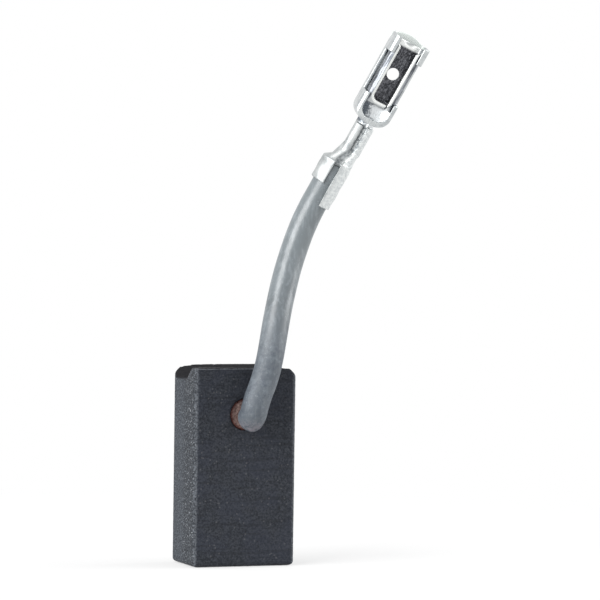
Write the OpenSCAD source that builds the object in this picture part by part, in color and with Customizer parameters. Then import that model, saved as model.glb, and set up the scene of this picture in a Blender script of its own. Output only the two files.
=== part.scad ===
// Carbon brush for a small power-tool motor: a pressed carbon block with a copper lead
// tamped into its side, a silicone sleeve over the lead, and a crimped tab receptacle.
// Millimetres. The origin is the centre of the wear face, +Z runs up the brush,
// X runs along the wide side and the lead leaves the -Y side.

/* [Block] */
// Width of the block, across the brush holder
block_w = 8; // [6.5:0.1:10]
// Thickness of the block, the direction the commutator turns in
block_d = 5; // [4.5:0.1:6.5]
// Height of the new block
block_h = 14.8; // [11:0.1:20]
// Rounding of the edges round the wear face
wear_edge_r = 0.45; // [0.2:0.05:0.7]
// Rounding of the upright edges
side_edge_r = 0.4; // [0.1:0.05:0.6]

/* [Spring groove] */
// Width of the groove across its open top
groove_w = 4.3; // [3.4:0.1:4.6]
// Depth of the groove
groove_depth = 1; // [0.5:0.05:1.2]
// Angle that the groove makes with the wide side
groove_angle = 6.5; // [3:0.5:12]
// How far the wall nearer the lead leans out, from floor to top
groove_front_run = 1.35; // [0.5:0.05:1.4]
// How far the other wall leans out
groove_back_run = 0.8; // [0.2:0.1:1]
// Size of the chamfer that blunts each thin tip beside the groove
tip_chamfer = 0.65; // [0.3:0.05:0.7]

/* [Lead hole] */
// Diameter of the hole that the lead is tamped into
hole_d = 2.4; // [1.9:0.1:3]
// Depth of the hole from the face
hole_depth = 3.2; // [2.5:0.1:3.8]
// Distance of the hole's axis below the top of the block
hole_drop = 3.5; // [3.2:0.1:4.5]
// How far the tamped powder stops short of the face
tamping_recess = 0.12; // [0.05:0.01:0.3]

/* [Lead] */
// Diameter of the stranded copper lead
flex_d = 0.95; // [0.8:0.05:1.15]
// How far the lead lies below the axis of its hole
flex_drop = 0.3; // [0:0.05:0.35]
// How far the lead reaches short of the bottom of its hole
flex_end_gap = 0.3; // [0.2:0.05:0.6]
// Outer diameter of the insulating sleeve
sleeve_d = 2; // [1.8:0.05:2.55]
// Radial clearance between the lead and its sleeve
sleeve_slack = 0.08; // [0.04:0.01:0.1]
// Clearance between the sleeve and the face of the block
sleeve_gap = 0.35; // [0.25:0.05:0.6]

/* [Receptacle] */
// Thickness of the contact's sheet
sheet = 0.24; // [0.2:0.01:0.3]
// Thickness of that sheet where it is squeezed round the crimps
crimp_sheet = 0.2; // [0.15:0.01:0.25]
// Width of the tab that the receptacle takes
tab_w = 1.9; // [1.6:0.1:2.4]
// Thickness of that tab
tab_t = 0.5; // [0.4:0.05:0.8]
// Length of the spring cage
cage_len = 6.9; // [6.6:0.1:9]
// Thickness of the spring cage's sheet
cage_sheet = 0.22; // [0.18:0.01:0.3]
// Clearance between the contact and the cage round it
cage_gap = 0.03; // [0.02:0.01:0.06]
// Room behind the contact, where the cage's spring tongue works
tongue_room = 0.6; // [0.5:0.01:0.9]
// Length of the collar round the mouth of the cage
collar_len = 1.35; // [1:0.05:2]
// Length of the window in each side of the cage
window_len = 3.4; // [2.5:0.1:4]
// Width of the slot down the front of the contact
slot_w = 1.3; // [0.9:0.02:1.4]
// Diameter of the locking hole
lock_hole_d = 1.05; // [0.8:0.05:1.2]
// Length of the crimp on the strands
crimp_len = 3.25; // [2.8:0.1:4]
// Length of the longer crimp wing on the sleeve
wing_len = 3.5; // [3:0.05:4.5]
// How much shorter the other wing is
wing_stagger = 1.65; // [1:0.05:2]

/* [Receptacle position] */
// Direction that the receptacle leans towards, seen from above
lean_heading = -19.8; // [-45:0.1:20]
// Lean of the receptacle to the side
lean_side = 28.4; // [0:0.1:45]
// Lean of the receptacle forwards
lean_front = 8; // [-10:0.5:20]
// Turn of the receptacle about its own axis
turn = 12; // [-30:1:30]

/* [Hidden] */
round_fn = 48;
over = 1;
rim = 0.02;

carbon_color = [0.20, 0.21, 0.24];
tamping_color = [0.48, 0.26, 0.20];
copper_color = [0.72, 0.42, 0.28];
sleeve_color = [0.55, 0.59, 0.62];
contact_color = [0.80, 0.81, 0.82];
spring_color = [0.88, 0.89, 0.90];

// Lead hole and the point where the lead leaves the block
hole_z = block_h - hole_drop;
exit_point = [0, -block_d / 2, hole_z - flex_drop];

// Receptacle sizes that follow from the tab, the sheets and the lead.
// Its own frame has z along the tab and y = 0 half way through the cage.
box_w = tab_w + 2 * sheet;
box_d = tab_t + 2 * sheet;
box_r = sheet + 0.08;
cage_w = box_w + 2 * (cage_gap + cage_sheet);
cage_d = box_d + 2 * cage_sheet + cage_gap + tongue_room;
cage_r = 0.4;
cage_front = -cage_d / 2;
cage_back = cage_d / 2 - cage_sheet;
box_front = cage_front + cage_sheet + cage_gap;
floor_front = box_front + sheet + tab_t;
floor_back = floor_front + sheet;

// Contact box, with the slot down its front and a scooped lead-in for the tab
box_bottom = 1.5;
box_top = cage_len - 0.2;
slot_bottom = box_bottom + 0.33;
slot_top = box_top - 0.18;
slot_corner_r = 0.4;
fold_seam = 0.12;
side_slit = 0.08;
lock_hole_z = cage_len - 2.85;
scoop_r = 1.15;
scoop_center = [0, floor_front - 0.8 * scoop_r, box_top + 0.27 * scoop_r];
dish_r = 1.9;
dish_center = [0, floor_front - dish_r, box_bottom - 0.1];

// Cage: round foot, windows, arched back and spring tongue
bowl_r = 1.15;
foot_lip = 0.4;
lower_collar_top = cage_len - collar_len - window_len;
window_share = 0.55;
mouth_rim = 0.3;
back_lip_h = 0.25;
back_hole_d = lock_hole_d + 0.7;
tongue_w = 1.05;
tongue_slit = 0.12;
tongue_tip_z = 1.65;
tongue_root_z = lock_hole_z - back_hole_d / 2 - 0.25;

// Crimps: the strand crimp lies close to the back of the cage, and the sleeve beside its axis
neck_bore_r = flex_d / 2 + 0.02;
neck_r = neck_bore_r + crimp_sheet;
neck_y = cage_back - cage_gap - neck_r;
neck_top = 0.52;
lobe_r = 0.4;
lobe_x = 0.35;
lobe_top = -0.3;
seam_mouth = 0.4;
seam_floor = 0.06;
wing_bore_r = sleeve_d / 2 + 0.01;
wing_r = wing_bore_r + crimp_sheet;
wing_x = -0.43;
wing_y = neck_y - 0.1;
wing_top = -crimp_len - 0.35;
wing_bottom = wing_top - wing_len;
wing_gap = [-20, 6];
gap_height = 0.4;
spine_edge = -150;
flare_top = wing_top + 1.6;
lobe_foot = flare_top - 0.6;
shoulder_angles = [-50, 34];
flare_rings = [[[0, neck_y, flare_top], neck_r],
               [[0.4 * wing_x, neck_y - 0.03, wing_top + 0.35], 0.75 * wing_r],
               [[wing_x, wing_y, wing_top], wing_r]];
sleeve_top = wing_top - 0.25;

// Lead route: out of the block, round an elbow, up past the block and over to the crimp
lead_out = sleeve_d / 2 + sleeve_gap;
droop_at = [0.03, -0.37, -0.07];
elbow_start = exit_point + [0.06, -0.7, -0.02];
elbow_r = sleeve_d / 2 + 0.15;
elbow_from = 25;
elbow_to = 80;
elbow_parts = 4;
elbow_drift = 0.12;
run_points = [
    [0.44, -0.04, 1.75], [0.78, -0.05, 2.65], [1.08, -0.03, 3.55], [1.34, 0.08, 4.48],
    [1.68, 0.38, 5.80], [2.19, 0.95, 7.55], [2.80, 1.60, 9.30], [3.44, 2.12, 11.07],
    [4.16, 2.48, 12.86], [4.78, 2.50, 14.40], [5.20, 2.38, 15.37], [5.51, 2.25, 16.03]
];
// Spacing of the route's points in the wings and the strand crimp, and where it shifts over
wing_step = 0.85;
neck_step = 0.8;
shift_gap = 0.05;
route_steps = 3;

// --- vectors -------------------------------------------------------------------

function unit(v) = v / norm(v);
function turned_x(a, p) = [p[0], p[1] * cos(a) - p[2] * sin(a), p[1] * sin(a) + p[2] * cos(a)];
function turned_y(a, p) = [p[0] * cos(a) + p[2] * sin(a), p[1], -p[0] * sin(a) + p[2] * cos(a)];
function turned_z(a, p) = [p[0] * cos(a) - p[1] * sin(a), p[0] * sin(a) + p[1] * cos(a), p[2]];

// A direction in the receptacle's own frame, in the brush's frame
function leaned(p) =
    turned_z(lean_heading, turned_y(lean_side, turned_x(lean_front, turned_z(turn, p))));

wing_entry = [wing_x, wing_y, wing_bottom - 0.1];
run = [for (p = run_points) exit_point + [p[0], p[1] - lead_out, p[2]]];
terminal_origin = run[len(run) - 1] - leaned(wing_entry);
function at_terminal(p) = terminal_origin + leaned(p);

// --- route of the lead -----------------------------------------------------------

elbow = [for (k = [1 : elbow_parts])
    let (a = elbow_from + (elbow_to - elbow_from) * k / elbow_parts)
    elbow_start + [elbow_drift * k / elbow_parts, elbow_r * (sin(elbow_from) - sin(a)),
                   elbow_r * (cos(elbow_from) - cos(a))]];
buried = [for (y = [hole_depth - flex_end_gap, hole_depth / 2, 2 * tamping_recess, tamping_recess, 0])
    exit_point + [0, y, 0]];
droop = exit_point + droop_at;
in_wing = [for (z = [wing_bottom + wing_step : wing_step : sleeve_top - wing_step / 2])
    at_terminal([wing_x, wing_y, z])];
past_sleeve = [for (z = [sleeve_top, wing_top - shift_gap]) at_terminal([wing_x, wing_y, z])];
in_neck = [for (z = [wing_top + 1.5 * neck_step : neck_step : 0]) at_terminal([0, neck_y, z])];
route = concat(buried, [droop, elbow_start], elbow, run, in_wing, past_sleeve, in_neck);
sleeve_first = route_steps * (len(buried) + 1);
sleeve_last = route_steps * (len(route) - len(in_neck) - 2);

// A smooth curve through the points, whose speed follows the distance between them
function curve_point(a, b, c, d, t) =
    let (ab = norm(b - a), bc = norm(c - b), cd = norm(d - c),
         mb = (c - b) + bc * ((b - a) / ab - (c - a) / (ab + bc)),
         mc = (c - b) + bc * ((d - c) / cd - (d - b) / (bc + cd)))
    (2 * t * t * t - 3 * t * t + 1) * b + (t * t * t - 2 * t * t + t) * mb
    + (3 * t * t - 2 * t * t * t) * c + (t * t * t - t * t) * mc;

function before_first(p) = 2 * p[0] - p[1];
function after_last(p) = 2 * p[len(p) - 1] - p[len(p) - 2];
function smoothed(p) =
    let (q = concat([before_first(p)], p, [after_last(p)]))
    concat([for (i = [1 : len(q) - 3], k = [0 : route_steps - 1])
            curve_point(q[i - 1], q[i], q[i + 1], q[i + 2], k / route_steps)],
           [p[len(p) - 1]]);

lead_path = smoothed(route);
function heading(p, i) = unit(p[min(i + 1, len(p) - 1)] - p[max(i - 1, 0)]);

function ring_point(center, along, radius, angle) =
    let (side = unit([1, 0, 0] - along[0] * along))
    center + radius * (cos(angle) * side + sin(angle) * cross(along, side));
function rings(path, first, last, radius, sides) =
    [for (i = [first:last], k = [0 : sides - 1])
        ring_point(path[i], heading(path, i), radius, 360 * k / sides)];

// The quads between one ring and the next, for rings stored one after another
function skin(count, sides, start = 0, flip = false) =
    [for (i = [0 : count - 2], k = [0 : sides - 1])
        let (a = start + i * sides + k, b = start + i * sides + (k + 1) % sides,
             quad = [a, b, b + sides, a + sides])
        flip ? [quad[3], quad[2], quad[1], quad[0]] : quad];

module solid_rope(path, first, last, radius, sides) {
    count = last - first + 1;
    end = (count - 1) * sides;
    polyhedron(rings(path, first, last, radius, sides),
               concat([[for (k = [sides - 1 : -1 : 0]) k]], skin(count, sides, 0, false),
                      [[for (k = [0 : sides - 1]) end + k]]), convexity = 6);
}

module hollow_rope(path, first, last, outer_r, inner_r, sides) {
    count = last - first + 1;
    inner = count * sides;
    end = (count - 1) * sides;
    function end_face(at, flip) = [for (k = [0 : sides - 1])
        let (n = (k + 1) % sides, quad = [at + k, inner + at + k, inner + at + n, at + n])
        flip ? [quad[3], quad[2], quad[1], quad[0]] : quad];
    polyhedron(concat(rings(path, first, last, outer_r, sides),
                      rings(path, first, last, inner_r, sides)),
               concat(skin(count, sides), skin(count, sides, inner, true),
                      end_face(0, false), end_face(end, true)), convexity = 6);
}

// --- flat shapes -------------------------------------------------------------------

module rounded_rect(w, h, r) {
    square([w - 2 * r, h], center = true);
    square([w, h - 2 * r], center = true);
    for (x = [-1, 1], y = [-1, 1])
        translate([x * (w / 2 - r), y * (h / 2 - r)]) circle(r = r, $fn = round_fn);
}

// An upright rectangle on y = 0 with its two lower corners rounded
module round_footed(w, h, r) {
    translate([-w / 2, r]) square([w, h - r]);
    translate([-(w / 2 - r), 0]) square([w - 2 * r, 2 * r]);
    for (x = [-1, 1]) translate([x * (w / 2 - r), r]) circle(r = r, $fn = round_fn);
}

// Stands a flat shape up, so that it is extruded through the part from front to back
module front_to_back(depth) {
    translate([0, depth / 2, 0]) rotate([90, 0, 0]) linear_extrude(depth) children();
}

// --- block -------------------------------------------------------------------------

module spring_groove() {
    half = groove_w / 2;
    translate([0, 0, block_h]) rotate([0, 0, -groove_angle]) rotate([90, 0, 90])
        linear_extrude(3 * block_w, center = true)
            polygon([[-half - groove_front_run / groove_depth * over, over],
                     [-half + groove_front_run, -groove_depth],
                     [half - groove_back_run, -groove_depth],
                     [half + groove_back_run / groove_depth * over, over]]);
}

// The thin tips that the groove leaves at two opposite corners are blunted
module tip_cuts() {
    for (a = [0, 180]) rotate([0, 0, a])
        translate([block_w / 2, -block_d / 2 - over, block_h]) rotate([0, 45, 0])
            cube([tip_chamfer * sqrt(2), 2 * (over + groove_front_run), tip_chamfer * sqrt(2)],
                 center = true);
}

module carbon_block() {
    color(carbon_color) difference() {
        intersection() {
            linear_extrude(block_h) rounded_rect(block_w, block_d, side_edge_r);
            front_to_back(block_d + over) round_footed(block_w, block_h, wear_edge_r);
            rotate([0, 0, 90]) front_to_back(block_w + over)
                round_footed(block_d, block_h, wear_edge_r);
        }
        spring_groove();
        tip_cuts();
        translate([0, -block_d / 2 + hole_depth, hole_z]) rotate([90, 0, 0])
            cylinder(d = hole_d, h = hole_depth + over, $fn = round_fn);
    }
}

module copper_tamping() {
    color(tamping_color) translate([0, -block_d / 2 + hole_depth, 0]) rotate([90, 0, 0])
        difference() {
            translate([0, hole_z, 0])
                cylinder(d = hole_d, h = hole_depth - tamping_recess, $fn = round_fn);
            translate([0, exit_point[2], flex_end_gap])
                cylinder(d = flex_d, h = hole_depth, $fn = round_fn);
        }
}

// --- lead ----------------------------------------------------------------------------

module copper_flex() {
    color(copper_color) solid_rope(lead_path, 0, len(lead_path) - 1, flex_d / 2, 12);
}

module insulating_sleeve() {
    color(sleeve_color) hollow_rope(lead_path, sleeve_first, sleeve_last, sleeve_d / 2,
                                    flex_d / 2 + sleeve_slack, 16);
}

// --- receptacle ------------------------------------------------------------------------

module at_lead_end() {
    translate(terminal_origin) rotate([0, 0, lean_heading]) rotate([0, lean_side, 0])
        rotate([lean_front, 0, 0]) rotate([0, 0, turn]) children();
}

// A folded box that the tab slides into, with a slot down its front
module contact_box() {
    mid = box_front + box_d / 2;
    difference() {
        translate([0, mid, box_bottom])
            linear_extrude(box_top - box_bottom) rounded_rect(box_w, box_d, box_r);
        translate([-tab_w / 2, box_front + sheet, box_bottom - over])
            cube([tab_w, tab_t, box_top - box_bottom + 2 * over]);
        slot_opening();
        side_slits();
        translate(scoop_center) sphere(r = scoop_r, $fn = round_fn);
        translate([0, mid, lock_hole_z]) rotate([-90, 0, 0])
            cylinder(d = lock_hole_d, h = 2 * over, $fn = round_fn);
    }
}

// The slot is round in one lower corner and has the fold's seam in the other
module slot_opening() {
    left = -slot_w / 2;
    translate([0, box_front - over, 0]) rotate([90, 0, 0]) mirror([0, 0, 1])
        linear_extrude(over + sheet + tab_t / 2) {
            translate([left, slot_bottom + slot_corner_r])
                square([slot_w, slot_top - slot_bottom - slot_corner_r]);
            translate([left + slot_corner_r, slot_bottom])
                square([slot_w - slot_corner_r, 2 * slot_corner_r]);
            translate([left + slot_corner_r, slot_bottom + slot_corner_r])
                circle(r = slot_corner_r, $fn = round_fn);
            translate([-left - fold_seam, box_bottom - over]) square([fold_seam, 2 * over]);
        }
}

// The front of the box is sprung: a slit parts it from each side inside the cage's windows
module side_slits() {
    margin = 0.35;
    translate([-box_w, box_front + sheet + side_slit, lower_collar_top + margin])
        cube([2 * box_w, side_slit, window_len - 2 * margin]);
}

// The sheet dips like a spoon below the box and runs on into the crimp
module contact_dish() {
    inset = cage_sheet + cage_gap;
    intersection() {
        translate(dish_center) difference() {
            sphere(r = dish_r + sheet, $fn = round_fn);
            sphere(r = dish_r, $fn = round_fn);
        }
        translate([0, 0, inset]) front_to_back(cage_d)
            round_footed(box_w, box_bottom + 0.1 - inset, bowl_r - inset);
    }
}

// Two rolled lobes are folded onto the strands, with a seam between them
module strand_crimp() {
    front = neck_y - 2 * lobe_r;
    difference() {
        union() {
            translate([0, neck_y, flare_top])
                cylinder(r = neck_r, h = neck_top - flare_top, $fn = round_fn);
            for (x = [-lobe_x, lobe_x]) translate([x, neck_y - lobe_r, lobe_foot])
                cylinder(r = lobe_r, h = lobe_top - lobe_foot, $fn = round_fn);
            lobe_shoulders();
            flare(0);
        }
        translate([0, neck_y, flare_top - 0.01])
            cylinder(r = neck_bore_r, h = neck_top - flare_top + over, $fn = round_fn);
        flare(crimp_sheet);
        flare_gap();
        translate([0, 0, wing_top]) linear_extrude(-wing_top)
            polygon([[-seam_mouth / 2, front], [seam_mouth / 2, front],
                     [seam_floor / 2, neck_y - neck_bore_r - 0.06],
                     [-seam_floor / 2, neck_y - neck_bore_r - 0.06]]);
        translate(dish_center) sphere(r = dish_r, $fn = round_fn);
    }
}

// Each lobe runs on down into the wing below it
module lobe_shoulders() {
    shoulder_r = lobe_r - rim;
    reach = wing_r - lobe_r - rim;
    for (k = [0, 1]) hull() {
        translate([(2 * k - 1) * lobe_x, neck_y - lobe_r, lobe_foot + rim])
            cylinder(r = shoulder_r, h = rim, $fn = round_fn);
        translate([wing_x + reach * sin(shoulder_angles[k]),
                   wing_y - reach * cos(shoulder_angles[k]), wing_top])
            cylinder(r = shoulder_r, h = rim, $fn = round_fn);
    }
}

// The sheet flares from the strand crimp to the wings
module flare(wall) {
    for (k = [0, 1]) hull() for (ring = [flare_rings[k], flare_rings[k + 1]])
        translate(ring[0] - [0, 0, rim / 2])
            cylinder(r = ring[1] - wall, h = rim, $fn = round_fn);
}

// The flare opens at its foot into the gap between the wings
module flare_gap() {
    left = wing_x + wing_r * sin(wing_gap[0]);
    right = wing_x + wing_r * sin(wing_gap[1]);
    translate([0, wing_y - wing_r, 0]) front_to_back(2 * wing_r)
        polygon([[-seam_floor / 2, wing_top + gap_height], [seam_floor / 2, wing_top + gap_height],
                 [right, wing_top], [right, wing_top - over],
                 [left, wing_top - over], [left, wing_top]]);
}

// A sector of the space round the wings, between two angles from the front, for cutting
module sector(from, to, bottom, top) {
    reach = 2 * wing_r;
    translate([wing_x, wing_y, bottom]) linear_extrude(top - bottom)
        polygon(concat([[0, 0]], [for (k = [0:6]) let (a = from + (to - from) * k / 6)
                                  reach * [sin(a), -cos(a)]]));
}

// Two wings wrap the sleeve from either side, and one reaches further down than the other
module sleeve_wings() {
    difference() {
        translate([wing_x, wing_y, wing_bottom])
            cylinder(r = wing_r, h = wing_len, $fn = round_fn);
        translate([wing_x, wing_y, wing_bottom - over])
            cylinder(r = wing_bore_r, h = wing_len + 2 * over, $fn = round_fn);
        sector(wing_gap[0], wing_gap[1], wing_bottom - over, wing_top + over);
        sector(spine_edge, wing_gap[1], wing_bottom - over, wing_bottom + wing_stagger);
    }
}

module terminal_contact() {
    color(contact_color) at_lead_end() {
        contact_box();
        contact_dish();
        strand_crimp();
        sleeve_wings();
    }
}

// The space inside the cage's sheet
module cage_inside() {
    intersection() {
        linear_extrude(cage_len + over)
            rounded_rect(cage_w - 2 * cage_sheet, cage_d - 2 * cage_sheet, cage_r - cage_sheet);
        translate([0, 0, cage_sheet]) front_to_back(2 * cage_d)
            round_footed(cage_w - 2 * cage_sheet, cage_len, bowl_r - cage_sheet);
    }
}

// The front is open below the collar and slit through it, and each side has a window
module cage_openings() {
    collar_bottom = cage_len - collar_len;
    front_cut = over + cage_sheet + 0.15;
    mouth_slot = slot_w + 2 * mouth_rim;
    translate([0, cage_front - over + front_cut / 2, foot_lip]) front_to_back(front_cut)
        round_footed(cage_w - 2 * foot_lip, collar_bottom - foot_lip, bowl_r - foot_lip);
    translate([-mouth_slot / 2, cage_front - over, collar_bottom - over])
        cube([mouth_slot, front_cut, collar_len + 2 * over]);
    translate([-cage_w, cage_front - over, lower_collar_top])
        cube([2 * cage_w, over + window_share * cage_d, window_len]);
}

// The back has a hole behind the locking hole, and an opening that the spring tongue bends from
module back_openings() {
    translate([0, 0, lock_hole_z]) rotate([-90, 0, 0])
        cylinder(d = back_hole_d, h = cage_d, $fn = round_fn);
    translate([-tongue_w / 2 - tongue_slit, floor_back, tongue_tip_z - tongue_slit])
        cube([tongue_w + 2 * tongue_slit, cage_d, tongue_root_z - tongue_tip_z + tongue_slit]);
}

// A sprung tongue holds the contact against the front of the cage
module spring_tongue() {
    tip = floor_back + cage_gap;
    translate([-tongue_w / 2, 0, 0]) rotate([90, 0, 90]) linear_extrude(tongue_w)
        polygon([[cage_back + cage_sheet, tongue_root_z], [cage_back, tongue_root_z],
                 [tip, tongue_tip_z], [tip + cage_sheet, tongue_tip_z]]);
}

// The back runs up past the mouth in a low arch
module back_lip() {
    chord = cage_w - 2 * cage_r;
    arch_r = (chord * chord / 4 + back_lip_h * back_lip_h) / (2 * back_lip_h);
    translate([0, cage_back + cage_sheet / 2, 0]) front_to_back(cage_sheet) intersection() {
        translate([-chord / 2, box_top]) square([chord, cage_len - box_top + back_lip_h]);
        translate([0, cage_len + back_lip_h - arch_r]) circle(r = arch_r, $fn = 2 * round_fn);
    }
}

module terminal_spring() {
    color(spring_color) at_lead_end() {
        difference() {
            intersection() {
                linear_extrude(cage_len) rounded_rect(cage_w, cage_d, cage_r);
                front_to_back(2 * cage_d) round_footed(cage_w, cage_len, bowl_r);
            }
            cage_inside();
            cage_openings();
            back_openings();
            translate([0, neck_y, -over])
                cylinder(r = neck_r + cage_gap, h = 2 * over, $fn = round_fn);
        }
        spring_tongue();
        back_lip();
    }
}

carbon_block();
copper_tamping();
copper_flex();
insulating_sleeve();
terminal_contact();
terminal_spring();
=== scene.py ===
"""Looks of a carbon brush: a pressed carbon block, its sleeved copper lead and a crimped receptacle.

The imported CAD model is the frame, in metres. Every piece here starts from it: the block, the
tamped powder and the two stamped pieces are finer copies of their CAD nodes with worn edges,
grain and tool marks, and the lead and its sleeve are drawn along the route of the CAD's lead.
Named sizes are in millimetres unless their comment says otherwise.
"""

import math

import bmesh
import bpy
import numpy as np
from mathutils import Matrix, Vector, noise


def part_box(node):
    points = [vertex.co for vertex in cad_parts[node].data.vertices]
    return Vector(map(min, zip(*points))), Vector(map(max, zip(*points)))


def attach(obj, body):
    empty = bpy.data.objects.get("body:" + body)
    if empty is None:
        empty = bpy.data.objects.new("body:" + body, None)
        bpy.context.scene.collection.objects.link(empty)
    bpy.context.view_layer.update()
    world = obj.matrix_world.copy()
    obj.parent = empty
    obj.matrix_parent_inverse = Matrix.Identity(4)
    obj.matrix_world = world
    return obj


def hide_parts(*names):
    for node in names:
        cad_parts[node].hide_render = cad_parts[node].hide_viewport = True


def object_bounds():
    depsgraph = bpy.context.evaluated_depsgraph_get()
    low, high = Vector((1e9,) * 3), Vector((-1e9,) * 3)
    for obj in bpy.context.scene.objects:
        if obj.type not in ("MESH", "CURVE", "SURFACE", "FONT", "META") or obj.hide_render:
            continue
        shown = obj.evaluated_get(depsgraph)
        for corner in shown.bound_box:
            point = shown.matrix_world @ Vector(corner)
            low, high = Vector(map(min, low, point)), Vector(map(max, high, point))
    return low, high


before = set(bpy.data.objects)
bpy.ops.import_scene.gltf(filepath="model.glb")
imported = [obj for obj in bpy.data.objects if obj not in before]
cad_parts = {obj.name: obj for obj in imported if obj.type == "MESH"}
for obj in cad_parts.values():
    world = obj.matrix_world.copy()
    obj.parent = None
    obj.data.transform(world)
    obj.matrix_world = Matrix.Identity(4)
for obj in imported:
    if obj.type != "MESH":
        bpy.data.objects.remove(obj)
cad_low, cad_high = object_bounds()

MM = 0.001

# --- sizes of the CAD model ----------------------------------------------------------------

FLEX_R = 0.475
SLEEVE_R = 1.0
SLEEVE_BORE_R = 0.56
HOLE_R = 1.2

# The lead's route from the bottom of its hole to the strand crimp
LEAD_ROUTE = [
    (0.00, 0.40, 11.00), (0.00, -0.90, 11.00), (0.00, -2.26, 11.00), (0.00, -2.38, 11.00),
    (0.00, -2.50, 11.00), (0.03, -2.87, 10.93), (0.06, -3.20, 10.98), (0.09, -3.43, 11.13),
    (0.12, -3.63, 11.32), (0.15, -3.77, 11.56), (0.18, -3.85, 11.82), (0.44, -3.89, 12.75),
    (0.78, -3.90, 13.65), (1.08, -3.88, 14.55), (1.34, -3.77, 15.48), (1.68, -3.47, 16.80),
    (2.19, -2.90, 18.55), (2.80, -2.25, 20.30), (3.44, -1.73, 22.07), (4.16, -1.37, 23.86),
    (4.78, -1.35, 25.40), (5.20, -1.47, 26.37), (5.51, -1.60, 27.03), (5.89, -1.88, 27.86),
    (6.22, -2.12, 28.60), (6.56, -2.37, 29.34), (6.84, -2.57, 29.95), (6.92, -2.63, 30.12),
    (7.82, -2.94, 31.04), (8.13, -3.18, 31.74), (8.45, -3.41, 32.44), (8.77, -3.64, 33.14),
]
# The points of the route at which the sleeve starts and ends, and the parts between two points
SLEEVE_FROM = 6
SLEEVE_TO = 26
PATH_STEPS = 8

# The receptacle's own frame: z runs along its tab, y = 0 is half way through the cage.
# Its turns are in degrees
RECEPTACLE_AT = (8.749, -3.717, 33.117)
LEAN_HEADING = -19.8
LEAN_SIDE = 28.4
LEAN_FRONT = 8.0
TURN = 12.0
BOX_FRONT = -0.775
BOX_FLOOR = -0.035
SLOT_HALF_W = 0.65
SLOT_BOTTOM = 1.83
SLOT_TOP = 6.52
SLOT_MIDDLE = (SLOT_BOTTOM + SLOT_TOP) / 2
SLOT_CORNER_R = 0.4
RIM_W = 0.32
RIM_H = 0.06
LOCK_HOLE_Z = 4.05
LOCK_HOLE_R = 0.525
HOLE_BURR = 0.06
LIP_FROM = 6.1
LIP_LEAN = 0.20
CRIMP_TOP = -0.3
WINGS_TOP = -3.6
SEAM_SHIFT_FROM = -2.1
SEAM_SHIFT_TO = -3.5
WING_GAP_X = -0.57

# Middles and radii, from the sleeve's end up to the top of the strand crimp
CRIMP_FILLING = [((-0.43, -0.02, -3.83), 0.98), ((-0.43, -0.02, -3.60), 1.12),
                 ((-0.17, 0.05, -3.25), 0.83), ((0.0, 0.08, -2.00), 0.61), ((0.0, 0.08, 0.4), 0.61)]

# --- zones of the finishes and of painted light and shade: where each one begins and where it is full ---

# The block: in from a narrow or a broad face, down from the top, or along y to its front
GROUND_FACE_IN = (0.34, 0.10)
SPECKLED_IN = (0.22, 0.08)
SPECKLED_TO_FRONT = (0.5, -0.7)
CREST_IN = (0.34, 0.15)
TOP_EDGE_IN = (0.40, 0.15)
TOP_EDGE_DOWN = (0.20, 0.06)
GROOVE_DOWN = (1.1, 0.9)

# The tamped powder's rim, out from its axis
POWDER_RIM_OUT = (0.9, 1.15)

# The sleeve, by height in the row frame
LIT_UPPER_SLEEVE = (20.0, 25.0)
DUSTY_SHADED_SLEEVE = (21.5, 16.5)
CUT_END = (12.0, 11.0)

# The receptacle, by x, y or z in its own frame, or out from the seam or the slot
FLARE_Z = (WINGS_TOP - 0.4, WINGS_TOP)
CRIMP_Z = (CRIMP_TOP + 0.3, CRIMP_TOP - 0.1)
RIGHT_LOBE_X = (-0.5, 0.1)
SEAM_OUT = (0.36, 0.14)
DISH_Z = (1.6, 1.3)
DISH_SHADE_X = (0.55, 0.15)
SLOT_RIM_OUT = (0.24, 0.16)
SLOT_RIM_Y = (BOX_FRONT + 0.40, BOX_FRONT + 0.30)
SCOOP_Z = (6.18, 6.30)
SCOOP_Y = (BOX_FLOOR + 0.15, BOX_FLOOR + 0.05)
FLANK_X = (SLOT_HALF_W + 0.15, SLOT_HALF_W + 0.25)
FLANK_Z = (1.4, 1.7)
FLOOR_SHEET_Y = (BOX_FLOOR - 0.25, BOX_FLOOR - 0.15)
FLOOR_SHEET_FROM_Z = (1.2, 1.6)
FLOOR_SHEET_TO_Z = (6.35, 6.15)
SATIN_FOOT_Z = (1.6, 1.2)
MOUTH_Z = (6.1, 6.5)
MOUTH_Y = (0.4, 0.6)

# --- the camera, where the photograph was taken from; its angles are in degrees ---------------

CAMERA_HEADING = 19.83
CAMERA_YAW = 0.99
CAMERA_PITCH = 1.94
CAMERA_ROLL = 0.81
CAMERA_DISTANCE = 275.6
CAMERA_HEIGHT = 29.1
CAMERA_LENS = 221.9

# --- the floor and the room -------------------------------------------------------------------

# The floor's radius and how far it lies below the block, in metres. Between the two shares of
# its radius, its own white rises from FLOOR_GLOW to 1 for the rays that show the background
FLOOR_R = 0.07
FLOOR_DROP = 0.00002
FLOOR_FADE = (0.2, 0.9)
FLOOR_GREY = (0.8, 0.8, 0.8, 1)
FLOOR_GLOW = 0.6
WHITE = (1, 1, 1, 1)

# Grey levels of the soft light that falls on the object, from straight behind it (0) round to
# the camera's side (1). The camera, reflections and glass see plain white instead
WORLD_BANDS = [(0.0, 1.0), (0.03, 0.9), (0.08, 0.45), (0.25, 0.5), (0.38, 1.0), (0.77, 0.92),
               (0.90, 0.14), (1.0, 0.10)]


def srgb(red, green, blue):
    """A colour given as 0-255 display values, in the linear values that sockets take."""
    def linear(v):
        v = v / 255
        return v / 12.92 if v <= 0.04045 else ((v + 0.055) / 1.055) ** 2.4
    return (linear(red), linear(green), linear(blue), 1)


# --- node helpers --------------------------------------------------------------------------


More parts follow.
